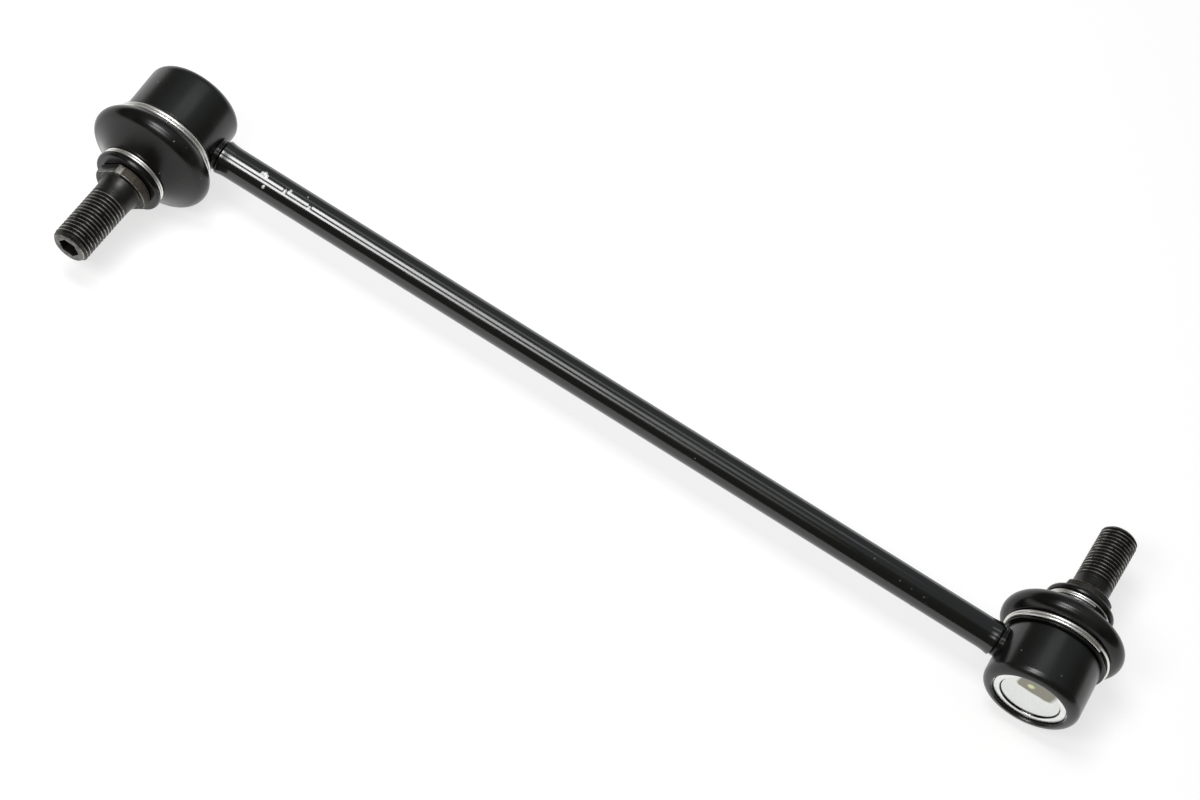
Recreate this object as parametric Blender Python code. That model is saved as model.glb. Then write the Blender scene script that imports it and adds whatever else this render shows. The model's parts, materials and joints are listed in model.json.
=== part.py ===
"""Stabilizer link: a steel bar between two ball joints whose studs point opposite ways.

Units are metres, +Z is up. The bar lies on X with its middle at the origin, and both head
axes lie in the XY plane. A head's own frame has its Z along the head axis towards the stud,
its X towards the bar and its Y up. Heights in it are counted from the bar's centre line,
and stud stations are counted from the ball's centre along the stud.
"""
import math

import bmesh
import bpy
from mathutils import Matrix, Vector

MM = 0.001

# Fit between pieces that touch
SEAM = 0.3 * MM

# Bar
HEAD_SPACING = 303.0 * MM
BAR_R = 5.0 * MM
BAR_FLARE = 0.35 * MM
BAR_FLARE_LENGTH = 3.0 * MM
BAR_EDGE = 0.25 * MM

# Ball and seat
BALL_RISE = 2.5 * MM
BALL_R = 9.5 * MM
BALL_FLAT_R = 3.0 * MM
SEAT_WALL = 1.8 * MM
SEAT_FLOOR = 1.3 * MM
SEAT_HOLE_R = 2.5 * MM
SEAT_MOUTH_CLEARANCE = 0.43 * MM

# End cap
CAP_STEP = 1.1 * MM
CAP_FLANGE = 1.8 * MM
CAP_RING_RISE = 0.3 * MM
CAP_RING_WIDTH = 2.1 * MM
CAP_RECESS = 0.6 * MM
CAP_SLOPE = 0.4 * MM

# Housing
HOUSING_WALL = 3.35 * MM
RIM_LIP = 1.0 * MM
RIM_FACE = 0.48 * MM
MOUTH_WALL = 1.9 * MM
MOUTH_CLEARANCE = 0.85 * MM
BOOT_GROOVE_WALL = 1.6 * MM
FLANGE_THICKNESS = 0.8 * MM
FLANGE_LIP = 0.7 * MM
EDGE_ROUND = 0.3 * MM

# Welded neck between housing and bar
NECK_STEP = 0.4 * MM
NECK_LENGTH = 1.1 * MM
NECK_ROOT_COVER = 0.75 * MM
RIDGE_HEIGHT = 0.45 * MM
RIDGE_COUNT = 3
RIDGE_PITCH = 0.6 * MM

# Dust boot: its bead in the housing's groove, its fold, and its lip on the stud
BEAD_HEIGHT = 2.6 * MM
BEAD_WALL = 1.92 * MM
BEAD_LIP = 0.68 * MM
BEAD_LIP_THICKNESS = 0.5 * MM
FOLD_INSET = 0.3 * MM
FOLD_TUBE = 3.4 * MM
FOLD_END = math.radians(68)
BOOT_WALL = 1.7 * MM
WAIST_PULL = 4.6 * MM
WAIST_INSET = 1.2 * MM
BOOT_FOOT = 0.6 * MM
LIP_WALL = 1.95 * MM
WAIST_STEP = 1.25 * MM
LIP_DEPTH = 1.5 * MM
LIP_THICKNESS = 1.8 * MM
LIP_ROUND = 0.5 * MM

# Wire rings, each a little short of two turns, and where each wire's lower end lies
LARGE_WIRE_R = 0.48 * MM
SMALL_WIRE_R = 0.35 * MM
TURN_GAP = 0.1 * MM
RING_WRAP = math.radians(644)
RING_CROSSING = math.radians(60)
LARGE_RING_START = {"a": math.radians(232), "b": math.radians(125)}
SMALL_RING_START = {"a": math.radians(232), "b": math.radians(103)}

# Ball stud
STUD_NECK_R = 5.0 * MM
STUD_NECK_STAND = 6.2 * MM
STUD_TAPER = 3.7 * MM
LAND_STEP = 1.4 * MM
COLLAR_STEP = 1.3 * MM
COLLAR_HEIGHT = 3.1 * MM
COLLAR_CHAMFER = 0.35 * MM
FLAT_DEPTH = 1.2 * MM
FLARE_WIDTH = 0.95 * MM
FLARE_LENGTH = 4.1 * MM
THREAD_R = 6.0 * MM
THREAD_LENGTH = 20.5 * MM
THREAD_CHAMFER = 0.8 * MM
HEX_FLATS = 6.0 * MM
HEX_DEPTH = 6.0 * MM
HEX_BOTTOM = 1.2 * MM

# How the studs stand: the lean away from the bar, and the swing that the mouth allows
STUD_LEAN = math.radians(2.5)
STUD_SWING = math.radians(25)

# Turn of each collar's flats about its stud
FLATS_TURN = {"a": math.radians(139), "b": 0.0}

# Fineness of the turned shapes, and how meshes are joined and shaded
COARSE_STEPS = 26
ROUND_STEPS = 28
FINE_STEPS = 32
MERGE_DISTANCE = 0.00001 * MM
SHARP_ANGLE = math.radians(32)

# Radii that follow from the ones above, from the ball outwards
SOCKET_R = BALL_R + SEAM
SEAT_R = SOCKET_R + SEAT_WALL
BORE_R = SEAT_R + SEAM
CAP_R = BORE_R + CAP_STEP
CAP_RING_R = BORE_R - SEAM
CAP_DISC_R = CAP_RING_R - CAP_RING_WIDTH
HOUSING_R = BORE_R + HOUSING_WALL
GROOVE_R = BORE_R + BOOT_GROOVE_WALL
FLANGE_R = GROOVE_R + FLANGE_LIP
LARGE_RING_SEAT_R = GROOVE_R + SEAM + BEAD_WALL
LARGE_RING_R = LARGE_RING_SEAT_R + SEAM + LARGE_WIRE_R
BEAD_LIP_R = LARGE_RING_SEAT_R + BEAD_LIP
FOLD_CENTRE_R = LARGE_RING_R - FOLD_INSET
LAND_R = THREAD_R + LAND_STEP
STUD_COLLAR_R = LAND_R + COLLAR_STEP
BOOT_HOLE_R = LAND_R + SEAM
SMALL_RING_SEAT_R = BOOT_HOLE_R + LIP_WALL
SMALL_RING_R = SMALL_RING_SEAT_R + SEAM + SMALL_WIRE_R
WAIST_R = SMALL_RING_SEAT_R + WAIST_STEP
LIP_R = SMALL_RING_SEAT_R + LIP_DEPTH
NECK_R = BAR_R - NECK_STEP
BAR_END = HOUSING_R + NECK_LENGTH + SEAM

# The seat's mouth stops where the neck, swung over as far as it goes, still clears it
SEAT_MOUTH = math.pi / 2 - STUD_SWING - math.asin((STUD_NECK_R + SEAT_MOUTH_CLEARANCE) / SOCKET_R)
SEAT_WRAP = SOCKET_R * math.sin(SEAT_MOUTH)

# Heights above the bar's centre line
SEAT_BASE = BALL_RISE - SOCKET_R - SEAT_FLOOR
SEAT_TOP = BALL_RISE + SEAT_WRAP
CAP_TOP = SEAT_BASE - SEAM
CAP_BASE = CAP_TOP - CAP_FLANGE
RIM_BASE = CAP_BASE - SEAM - RIM_LIP
SHOULDER = SEAT_TOP + SEAM
HOUSING_TOP = SHOULDER + MOUTH_WALL
GROOVE_TOP = HOUSING_TOP - FLANGE_THICKNESS
BEAD_TOP = GROOVE_TOP - SEAM
BEAD_BASE = BEAD_TOP - BEAD_HEIGHT
BOOT_SEAT_RISE = BEAD_BASE - SEAM
RING_GROOVE_BASE = BEAD_BASE + BEAD_LIP_THICKNESS
LARGE_PITCH = 2 * LARGE_WIRE_R + TURN_GAP
LARGE_RING_RISE = RING_GROOVE_BASE + SEAM + LARGE_WIRE_R
RING_GROOVE_TOP = LARGE_RING_RISE + LARGE_PITCH + LARGE_WIRE_R + SEAM

# Stations along the stud, from the ball's centre
STUD_NECK_END = HOUSING_TOP - BALL_RISE + STUD_NECK_STAND
LAND_START = STUD_NECK_END + STUD_TAPER
BOOT_HOLE_BASE = LAND_START + SEAM
SMALL_GROOVE_BASE = BOOT_HOLE_BASE + BOOT_FOOT
SMALL_PITCH = 2 * SMALL_WIRE_R + TURN_GAP
SMALL_RING_STATION = SMALL_GROOVE_BASE + SEAM + SMALL_WIRE_R
LIP_BASE = SMALL_RING_STATION + SMALL_PITCH + SMALL_WIRE_R + SEAM
LIP_TOP = LIP_BASE + LIP_THICKNESS
STUD_COLLAR_START = LIP_TOP + SEAM
STUD_COLLAR_END = STUD_COLLAR_START + COLLAR_HEIGHT
THREAD_START = STUD_COLLAR_END + FLARE_LENGTH
STUD_TIP = THREAD_START + THREAD_LENGTH

BLACK_PAINT = ("black_paint", (0.012, 0.012, 0.012), 0.32, 0.0)
RUBBER = ("rubber", (0.03, 0.03, 0.03), 0.62, 0.0)
ZINC = ("zinc", (0.74, 0.75, 0.75), 0.28, 1.0)
SPRING_WIRE = ("spring_wire", (0.8, 0.8, 0.8), 0.2, 1.0)
PHOSPHATE = ("phosphate", (0.03, 0.028, 0.026), 0.42, 0.8)
ACETAL = ("acetal", (0.85, 0.84, 0.78), 0.45, 0.0)


def clear_scene():
    for old in list(bpy.data.objects):
        bpy.data.objects.remove(old, do_unlink=True)


def material(finish):
    name, colour, roughness, metallic = finish
    made = bpy.data.materials.get(name) or bpy.data.materials.new(name)
    made.use_nodes = True
    shader = made.node_tree.nodes["Principled BSDF"]
    shader.inputs["Base Color"].default_value = (*colour, 1.0)
    shader.inputs["Roughness"].default_value = roughness
    shader.inputs["Metallic"].default_value = metallic
    return made


def add_object(name, data, finish, parent=None, place=Matrix()):
    made = bpy.data.objects.new(name, data)
    bpy.context.scene.collection.objects.link(made)
    made.parent = parent
    made.matrix_local = place
    if finish:
        data.materials.append(material(finish))
    return made


def add_empty(name, parent, place):
    return add_object(name, None, None, parent, place)


def make_tool(tool):
    """A cutter or a joined-on body: the build reads its result, not itself."""
    tool.hide_render = True
    tool.display_type = "WIRE"
    return tool


def arc(centre, radius, start, end, count):
    """Points of (radius, height) along an arc, both ends included."""
    steps = [start + (end - start) * i / count for i in range(count + 1)]
    return [(centre[0] + radius * math.cos(a), centre[1] + radius * math.sin(a)) for a in steps]


def bezier(first, pull, last, count):
    """Points along a quadratic curve, both ends left out."""
    points = []
    for i in range(1, count):
        t = i / count
        weights = ((1 - t) ** 2, 2 * t * (1 - t), t ** 2)
        ends = (first, pull, last)
        points.append(tuple(sum(w * p[k] for w, p in zip(weights, ends)) for k in range(2)))
    return points


def turned(name, outline, steps, axis="Z"):
    """Turn an outline of (radius, height) points about local Z or X into a closed mesh.

    An outline that starts and ends on the axis stays open there, any other one is closed.
    """
    bm = bmesh.new()
    spin_axis = Vector((0, 0, 1)) if axis == "Z" else Vector((1, 0, 0))
    if axis == "Z":
        verts = [bm.verts.new((r, 0, h)) for r, h in outline]
    else:
        verts = [bm.verts.new((h, 0, r)) for r, h in outline]
    pairs = list(zip(verts, verts[1:]))
    if outline[0][0] > 0:
        pairs.append((verts[-1], verts[0]))
    edges = [bm.edges.new(pair) for pair in pairs]
    bmesh.ops.spin(bm, geom=verts + edges, cent=(0, 0, 0), axis=spin_axis,
                   angle=2 * math.pi, steps=steps, use_merge=True)
    bmesh.ops.remove_doubles(bm, verts=bm.verts, dist=MERGE_DISTANCE)
    bmesh.ops.recalc_face_normals(bm, faces=bm.faces)
    mesh = bpy.data.meshes.new(name)
    bm.to_mesh(mesh)
    bm.free()
    return smooth(mesh)


def smooth(mesh):
    mesh.shade_smooth()
    mesh.set_sharp_from_angle(angle=SHARP_ANGLE)
    return mesh


def block(name, size, centre):
    bm = bmesh.new()
    bmesh.ops.create_cube(bm, size=1.0)
    bmesh.ops.scale(bm, vec=size, verts=bm.verts)
    bmesh.ops.translate(bm, vec=centre, verts=bm.verts)
    mesh = bpy.data.meshes.new(name)
    bm.to_mesh(mesh)
    bm.free()
    return mesh


def boolean(target, tool, operation):
    change = target.modifiers.new(tool.name, "BOOLEAN")
    change.operation = operation
    change.solver = "EXACT"
    change.object = tool


def swing_reach(rise):
    """Half width that the stud's neck sweeps at a height above the ball's centre."""
    return STUD_NECK_R / math.cos(STUD_SWING) + rise * math.tan(STUD_SWING)


def make_bar():
    """The bar, upset a little where each end was pressed against its weld."""
    end = HEAD_SPACING / 2 - BAR_END
    flare_start = (BAR_R, end - BAR_FLARE_LENGTH)
    flare_end = (BAR_R + BAR_FLARE, end - BAR_EDGE)
    half = [
        flare_start,
        *bezier(flare_start, (BAR_R, end - BAR_FLARE_LENGTH / 2), flare_end, 2),
        flare_end,
        (BAR_R + BAR_FLARE - BAR_EDGE, end),
        (0, end),
    ]
    outline = [(r, -x) for r, x in reversed(half)] + half
    add_object("link_rod", turned("link_rod", outline, ROUND_STEPS, "X"), BLACK_PAINT)


def housing_outline():
    mouth_low = swing_reach(SHOULDER - BALL_RISE) + MOUTH_CLEARANCE
    mouth_high = swing_reach(HOUSING_TOP - BALL_RISE) + MOUTH_CLEARANCE
    rim_inner = CAP_RING_R + SEAM
    rim_round = HOUSING_R - rim_inner - RIM_FACE
    rim_centre = (HOUSING_R - rim_round, RIM_BASE + rim_round)
    return [
        *arc(rim_centre, rim_round, 0, -math.pi / 2, 5),
        (rim_inner, RIM_BASE + EDGE_ROUND),
        (rim_inner, CAP_BASE - SEAM),
        (CAP_R + SEAM, CAP_BASE - SEAM),
        (CAP_R + SEAM, SEAT_BASE),
        (BORE_R, SEAT_BASE),
        (BORE_R, SHOULDER),
        (mouth_low, SHOULDER),
        (mouth_high, HOUSING_TOP),
        (FLANGE_R, HOUSING_TOP),
        (FLANGE_R, GROOVE_TOP),
        (GROOVE_R, GROOVE_TOP),
        (GROOVE_R, BOOT_SEAT_RISE),
        (HOUSING_R - EDGE_ROUND, BOOT_SEAT_RISE),
        (HOUSING_R, BOOT_SEAT_RISE - EDGE_ROUND),
    ]


def neck_outline():
    """The short welded neck, from inside the housing's wall to the seam with the bar."""
    root = BORE_R + NECK_ROOT_COVER
    end = HOUSING_R + NECK_LENGTH
    first = end - RIDGE_PITCH * (RIDGE_COUNT - 0.5)
    outline = [(0, root), (NECK_R, root)]
    for i in range(RIDGE_COUNT):
        crest = first + i * RIDGE_PITCH
        outline.append((NECK_R, crest - RIDGE_PITCH / 2))
        outline.append((NECK_R + RIDGE_HEIGHT, crest - RIDGE_PITCH / 8))
        outline.append((NECK_R + RIDGE_HEIGHT, crest + RIDGE_PITCH / 8))
    return outline + [(NECK_R, end), (0, end)]


def make_housing(end, head):
    name = "housing_" + end
    body = add_object(name, turned(name, housing_outline(), FINE_STEPS), BLACK_PAINT, head)
    neck_mesh = turned("neck_" + end, neck_outline(), COARSE_STEPS, "X")
    neck = make_tool(add_object("neck_" + end, neck_mesh, None, head))
    boolean(body, neck, "UNION")


def make_cap(end, head):
    """A pressed cap whose flange lies under the rim, with a raised ring and a sunk disc."""
    name = "end_cap_" + end
    ring_base = CAP_BASE - CAP_RING_RISE
    outline = [
        (0, ring_base + CAP_RECESS),
        (CAP_DISC_R, ring_base + CAP_RECESS),
        (CAP_DISC_R + CAP_SLOPE, ring_base),
        (CAP_RING_R, ring_base),
        (CAP_RING_R, CAP_BASE),
        (CAP_R, CAP_BASE),
        (CAP_R, CAP_TOP),
        (0, CAP_TOP),
    ]
    add_object(name, turned(name, outline, ROUND_STEPS), ZINC, head)


def make_seat(end, pivot):
    """The plastic cup that wraps the ball past its middle, with a grease hole below."""
    name = "ball_seat_" + end
    hole = -math.acos(SEAT_HOLE_R / SOCKET_R)
    outline = [
        *arc((0, 0), SOCKET_R, SEAT_MOUTH, hole, 8),
        (SEAT_HOLE_R, SEAT_BASE - BALL_RISE),
        (SEAT_R, SEAT_BASE - BALL_RISE),
        (SEAT_R, SEAT_WRAP),
    ]
    add_object(name, turned(name, outline, COARSE_STEPS), ACETAL, pivot)


def stud_outline():
    flat_angle = -math.acos(BALL_FLAT_R / BALL_R)
    neck_angle = math.acos(STUD_NECK_R / BALL_R)
    ball = arc((0, 0), BALL_R, flat_angle, neck_angle, 9)
    flare_foot = (THREAD_R + FLARE_WIDTH, STUD_COLLAR_END)
    thread_foot = (THREAD_R, THREAD_START)
    return [
        (0, ball[0][1]),
        *ball,
        (STUD_NECK_R, STUD_NECK_END),
        (LAND_R, LAND_START),
        (LAND_R, STUD_COLLAR_START),
        (STUD_COLLAR_R - COLLAR_CHAMFER, STUD_COLLAR_START),
        (STUD_COLLAR_R, STUD_COLLAR_START + COLLAR_CHAMFER),
        (STUD_COLLAR_R, STUD_COLLAR_END - COLLAR_CHAMFER),
        (STUD_COLLAR_R - COLLAR_CHAMFER, STUD_COLLAR_END),
        flare_foot,
        *bezier(flare_foot, (THREAD_R, STUD_COLLAR_END + FLARE_LENGTH / 2), thread_foot, 4),
        thread_foot,
        (THREAD_R, STUD_TIP - THREAD_CHAMFER),
        (THREAD_R - THREAD_CHAMFER, STUD_TIP),
        (0, STUD_TIP),
    ]


def hex_cutter(end, stud):
    """A six-sided bit with a pointed end, flats up and down."""
    bm = bmesh.new()
    corner_r = HEX_FLATS / 2 / math.cos(math.pi / 6)
    disc = bmesh.ops.create_circle(bm, cap_ends=True, segments=6, radius=corner_r)
    bmesh.ops.rotate(bm, verts=disc["verts"], matrix=Matrix.Rotation(math.pi / 6, 3, "Z"))
    bmesh.ops.translate(bm, verts=disc["verts"], vec=(0, 0, STUD_TIP - HEX_DEPTH))
    wall = bmesh.ops.extrude_face_region(bm, geom=list(bm.faces))
    rim = [v for v in wall["geom"] if isinstance(v, bmesh.types.BMVert)]
    bmesh.ops.translate(bm, verts=rim, vec=(0, 0, HEX_DEPTH + HEX_BOTTOM))
    low = min(bm.faces, key=lambda face: face.calc_center_median().z)
    point = bmesh.ops.poke(bm, faces=[low])["verts"]
    bmesh.ops.translate(bm, verts=point, vec=(0, 0, -HEX_BOTTOM))
    bmesh.ops.recalc_face_normals(bm, faces=bm.faces)
    mesh = bpy.data.meshes.new("hex_" + end)
    bm.to_mesh(mesh)
    bm.free()
    return make_tool(add_object("hex_" + end, mesh, None, stud))


def make_stud(end, stud_frame):
    name = "ball_stud_" + end
    mesh = turned(name, stud_outline(), COARSE_STEPS)
    stud = add_object(name, mesh, PHOSPHATE, stud_frame)
    boolean(stud, hex_cutter(end, stud_frame), "DIFFERENCE")
    width = 2 * STUD_COLLAR_R
    middle = (STUD_COLLAR_START + STUD_COLLAR_END) / 2
    size = (width, width, COLLAR_HEIGHT + 2 * SEAM)
    for side in (-1, 1):
        centre = (side * (STUD_COLLAR_R - FLAT_DEPTH + width / 2), 0, middle)
        label = "flat_%s_%s" % (end, "low" if side < 0 else "high")
        turn = Matrix.Rotation(FLATS_TURN[end], 4, "Z")
        cutter = add_object(label, block(label, size, centre), None, stud_frame, turn)
        boolean(stud, make_tool(cutter), "DIFFERENCE")


def boot_outline():
    """The boot in heights above the bar's centre line, before it leans with the stud."""
    fold_centre = (FOLD_CENTRE_R, RING_GROOVE_TOP + FOLD_TUBE)
    outer = arc(fold_centre, FOLD_TUBE, -math.pi / 2, FOLD_END, 6)
    inner = arc(fold_centre, FOLD_TUBE - BOOT_WALL, FOLD_END, -math.pi / 2, 3)
    pull = (outer[-1][0] - WAIST_PULL * math.sin(FOLD_END),
            outer[-1][1] + WAIST_PULL * math.cos(FOLD_END))
    waist = (WAIST_R, BALL_RISE + SMALL_GROOVE_BASE)
    lip_base = BALL_RISE + LIP_BASE
    lip_top = BALL_RISE + LIP_TOP
    hole_base = BALL_RISE + BOOT_HOLE_BASE
    inner_waist = (BOOT_HOLE_R + WAIST_INSET, hole_base - WAIST_INSET)
    inner_pull = (pull[0] - BOOT_WALL, pull[1] - BOOT_WALL)
    return [
        (GROOVE_R + SEAM, BEAD_BASE),
        (BEAD_LIP_R, BEAD_BASE),
        (BEAD_LIP_R, RING_GROOVE_BASE),
        (LARGE_RING_SEAT_R, RING_GROOVE_BASE),
        (LARGE_RING_SEAT_R, RING_GROOVE_TOP),
        *outer,
        *bezier(outer[-1], pull, waist, 4),
        waist,
        (SMALL_RING_SEAT_R, waist[1]),
        (SMALL_RING_SEAT_R, lip_base),
        (LIP_R - LIP_ROUND, lip_base),
        (LIP_R, lip_base + LIP_ROUND),
        (LIP_R, lip_top - LIP_ROUND),
        (LIP_R - LIP_ROUND, lip_top),
        (BOOT_HOLE_R, lip_top),
        (BOOT_HOLE_R, hole_base),
        inner_waist,
        *bezier(inner_waist, inner_pull, inner[0], 2),
        *inner,
        (FLANGE_R + SEAM, inner[-1][1]),
        (FLANGE_R + SEAM, BEAD_TOP),
        (GROOVE_R + SEAM, BEAD_TOP),
    ]


def lean_boot(mesh):
    """Turn each height about the ball, from nothing at the housing to the full lean."""
    still = HOUSING_TOP
    full = BALL_RISE + LAND_START
    centre = Vector((0, 0, BALL_RISE))
    for vertex in mesh.vertices:
        share = min(max((vertex.co.z - still) / (full - still), 0.0), 1.0)
        share = share * share * (3 - 2 * share)
        turn = Matrix.Rotation(-STUD_LEAN * share, 3, "Y")
        vertex.co = centre + turn @ (vertex.co - centre)


def make_boot(end, head):
    name = "dust_boot_" + end
    mesh = turned(name, boot_outline(), FINE_STEPS)
    lean_boot(mesh)
    add_object(name, mesh, RUBBER, head)


def make_ring(name, parent, radius, wire_r, pitch, station, start):
    """A wire ring: two flat turns side by side, joined by one short crossing."""
    curve = bpy.data.curves.new(name, "CURVE")
    curve.dimensions = "3D"
    curve.bevel_depth = wire_r
    curve.bevel_resolution = 1
    curve.use_fill_caps = True
    count = round(RING_WRAP / (2 * math.pi) * COARSE_STEPS)
    spline = curve.splines.new("POLY")
    spline.points.add(count)
    for i, point in enumerate(spline.points):
        along = RING_WRAP * i / count
        angle = start - along
        share = (along - RING_WRAP / 2) / RING_CROSSING + 0.5
        share = min(max(share, 0.0), 1.0)
        rise = station + pitch * share * share * (3 - 2 * share)
        point.co = (radius * math.cos(angle), radius * math.sin(angle), rise, 1.0)
    add_object(name, curve, SPRING_WIRE, parent)


def head_frame(end):
    side = -1 if end == "a" else 1
    axes = Matrix(((-side, 0, 0), (0, 0, side), (0, 1, 0))).to_4x4()
    place = Matrix.Translation((side * HEAD_SPACING / 2, 0, 0)) @ axes
    return add_empty("head_" + end, None, place)


def make_end(end):
    head = head_frame(end)
    pivot = add_empty("pivot_" + end, head, Matrix.Translation((0, 0, BALL_RISE)))
    stud_frame = add_empty("stud_" + end, pivot, Matrix.Rotation(-STUD_LEAN, 4, "Y"))
    make_housing(end, head)
    make_cap(end, head)
    make_seat(end, pivot)
    make_stud(end, stud_frame)
    make_boot(end, head)
    make_ring("boot_ring_large_" + end, head, LARGE_RING_R, LARGE_WIRE_R, LARGE_PITCH,
              LARGE_RING_RISE, LARGE_RING_START[end])
    make_ring("boot_ring_small_" + end, stud_frame, SMALL_RING_R, SMALL_WIRE_R, SMALL_PITCH,
              SMALL_RING_STATION, SMALL_RING_START[end])


def main():
    clear_scene()
    make_bar()
    for end in ("a", "b"):
        make_end(end)


main()
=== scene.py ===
# %% [markdown]
# # A stabilizer link
#
# A stabilizer link ties a car's anti-roll bar to its suspension. It is a steel bar with a ball
# joint at each end, and the two studs point opposite ways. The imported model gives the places,
# the sizes and the joints. This script dresses it: it makes a finer mesh of each piece that
# shows, in the same place, and gives every piece a finish worked out from nodes.

# %% Load the frame and measure it
import json
import math

import bmesh
import bpy
from mathutils import Matrix, Vector


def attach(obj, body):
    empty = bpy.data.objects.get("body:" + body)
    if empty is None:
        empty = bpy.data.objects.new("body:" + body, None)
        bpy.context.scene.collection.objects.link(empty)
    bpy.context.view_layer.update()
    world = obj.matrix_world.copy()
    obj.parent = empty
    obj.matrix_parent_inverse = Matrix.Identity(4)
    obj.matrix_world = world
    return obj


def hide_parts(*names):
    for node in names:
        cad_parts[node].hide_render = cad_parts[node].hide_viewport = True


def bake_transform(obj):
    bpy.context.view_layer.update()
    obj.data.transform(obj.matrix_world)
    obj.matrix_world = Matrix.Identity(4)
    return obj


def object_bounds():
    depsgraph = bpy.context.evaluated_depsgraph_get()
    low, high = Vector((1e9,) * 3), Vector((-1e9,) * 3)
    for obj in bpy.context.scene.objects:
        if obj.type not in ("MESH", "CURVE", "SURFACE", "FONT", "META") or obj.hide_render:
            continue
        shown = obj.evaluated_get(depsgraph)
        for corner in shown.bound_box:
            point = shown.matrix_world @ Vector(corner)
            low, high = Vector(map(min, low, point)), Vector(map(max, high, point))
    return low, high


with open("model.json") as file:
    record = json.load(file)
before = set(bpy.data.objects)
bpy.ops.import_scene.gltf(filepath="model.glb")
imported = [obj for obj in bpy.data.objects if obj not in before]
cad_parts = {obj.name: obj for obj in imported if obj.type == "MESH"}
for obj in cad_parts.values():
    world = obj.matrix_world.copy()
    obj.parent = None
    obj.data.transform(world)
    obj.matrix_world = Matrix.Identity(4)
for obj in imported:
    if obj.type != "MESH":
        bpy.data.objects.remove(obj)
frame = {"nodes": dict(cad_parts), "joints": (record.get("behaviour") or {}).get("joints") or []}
cad_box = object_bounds()
MM = 0.001
print("packed box in mm:", [round(side / MM, 1) for side in cad_box[1] - cad_box[0]])

# %% [markdown]
# Both ends are the same, so every head piece is modelled once in a head's own frame: Z runs
# along the head axis towards the stud, X towards the bar, and Y up. The joints say where that
# frame lies. Taking it from them, and not from typed numbers, keeps the pieces on their pivots.

# %% Find the two heads from the joints
BALL_RISE = 2.5 * MM
joints = {joint["name"]: joint for joint in frame["joints"]}


def axes_matrix(x_axis, z_axis, origin):
    """A frame from its X and Z directions and its origin."""
    y_axis = z_axis.cross(x_axis)
    turned_frame = Matrix((x_axis, y_axis, z_axis)).transposed().to_4x4()
    return Matrix.Translation(origin) @ turned_frame


def head_matrix(end):
    joint = joints["seat_turn_" + end]
    pivot = Vector(joint["pos_m"])
    axis = Vector(joint["axis"]).normalized()
    inward = Vector((-math.copysign(1, pivot.x), 0, 0))
    return axes_matrix(inward, axis, pivot - axis * BALL_RISE)


def stud_matrix(end):
    joint = joints["stud_spin_" + end]
    axis = Vector(joint["axis"]).normalized()
    inward = Vector((0, 0, 1)).cross(axis).normalized()
    return axes_matrix(inward, axis, Vector(joint["pos_m"]))


HEADS = {end: head_matrix(end) for end in ("a", "b")}
STUDS = {end: stud_matrix(end) for end in ("a", "b")}
HEAD_SPACING = (HEADS["b"].translation - HEADS["a"].translation).length
STUD_LEAN = HEADS["a"].col[2].to_3d().angle(STUDS["a"].col[2].to_3d())
print("head spacing in mm:", round(HEAD_SPACING / MM, 2))
print("stud lean in degrees:", round(math.degrees(STUD_LEAN), 2))

# %% [markdown]
# The camera stands where the photograph was taken from: about 80 centimetres away, looking down
# at about sixty degrees, with a long lens. A long lens keeps the two ends nearly the same size.
# The camera's right, up and back directions make its turn.

# %% Set the camera
CAMERA_LENS = 82.4
CAMERA_RIGHT = Vector((0.8477, 0.4796, 0.2263))
CAMERA_UP = Vector((-0.5291, 0.7345, 0.4250))
CAMERA_PLACE = Vector((29.36, -391.7, 710.88)) * MM

camera = bpy.data.objects.new("camera", bpy.data.cameras.new("camera"))
camera.data.lens = CAMERA_LENS
camera.data.clip_start = 10 * MM
camera.matrix_world = axes_matrix(
    CAMERA_RIGHT.normalized(), CAMERA_RIGHT.cross(CAMERA_UP).normalized(), CAMERA_PLACE)
bpy.context.scene.collection.objects.link(camera)
bpy.context.scene.camera = camera
bpy.context.scene.view_settings.view_transform = "Standard"
print("camera distance in mm:", round(CAMERA_PLACE.length / MM))

# %% [markdown]
# ## Turned shapes
#
# Nearly every piece came off a lathe or out of a round mould. Such a shape is an outline of
# radius and height that is spun about an axis. `rounded` puts a fillet on the corners that
# have one, so that an outline stays a short list of real corners. `ramp` and `ease` fade a value
# from 0 to 1 over a stretch, for a bend, a run-out or a patch of colour.


# %% Helpers for outlines
def arc(centre, radius, start, end, count):
    """Points of (radius, height) along an arc, angles in degrees, both ends included."""
    turns = [math.radians(start + (end - start) * i / count) for i in range(count + 1)]
    return [(centre[0] + radius * math.cos(t), centre[1] + radius * math.sin(t)) for t in turns]


def curve(first, pull, last, count):
    """Points along a quadratic curve, both ends left out."""
    points = []
    for i in range(1, count):
        t = i / count
        mixed = ((1 - t) ** 2 * Vector(first) + 2 * t * (1 - t) * Vector(pull)
                 + t ** 2 * Vector(last))
        points.append(tuple(mixed))
    return points


def fillet(before, corner, after, radius, count):
    """The arc that rounds one corner of an outline."""
    here = Vector(corner)
    back = (Vector(before) - here).normalized()
    ahead = (Vector(after) - here).normalized()
    half = back.angle(ahead) / 2
    centre = here + (back + ahead).normalized() * radius / math.sin(half)
    start = here + back * radius / math.tan(half) - centre
    end = here + ahead * radius / math.tan(half) - centre
    first = math.degrees(math.atan2(start.y, start.x))
    sweep = (math.degrees(math.atan2(end.y, end.x)) - first + 180) % 360 - 180
    return arc(centre, radius, first, first + sweep, count)


def rounded(corners, count=4):
    """An outline in mm, with a fillet at each corner given as (radius, height, fillet)."""
    points = []
    for i, corner in enumerate(corners):
        if len(corner) < 3:
            points.append(corner[:2])
            continue
        before = corners[i - 1][:2]
        after = corners[(i + 1) % len(corners)][:2]
        points.extend(fillet(before, corner[:2], after, corner[2], count))
    return points


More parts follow.
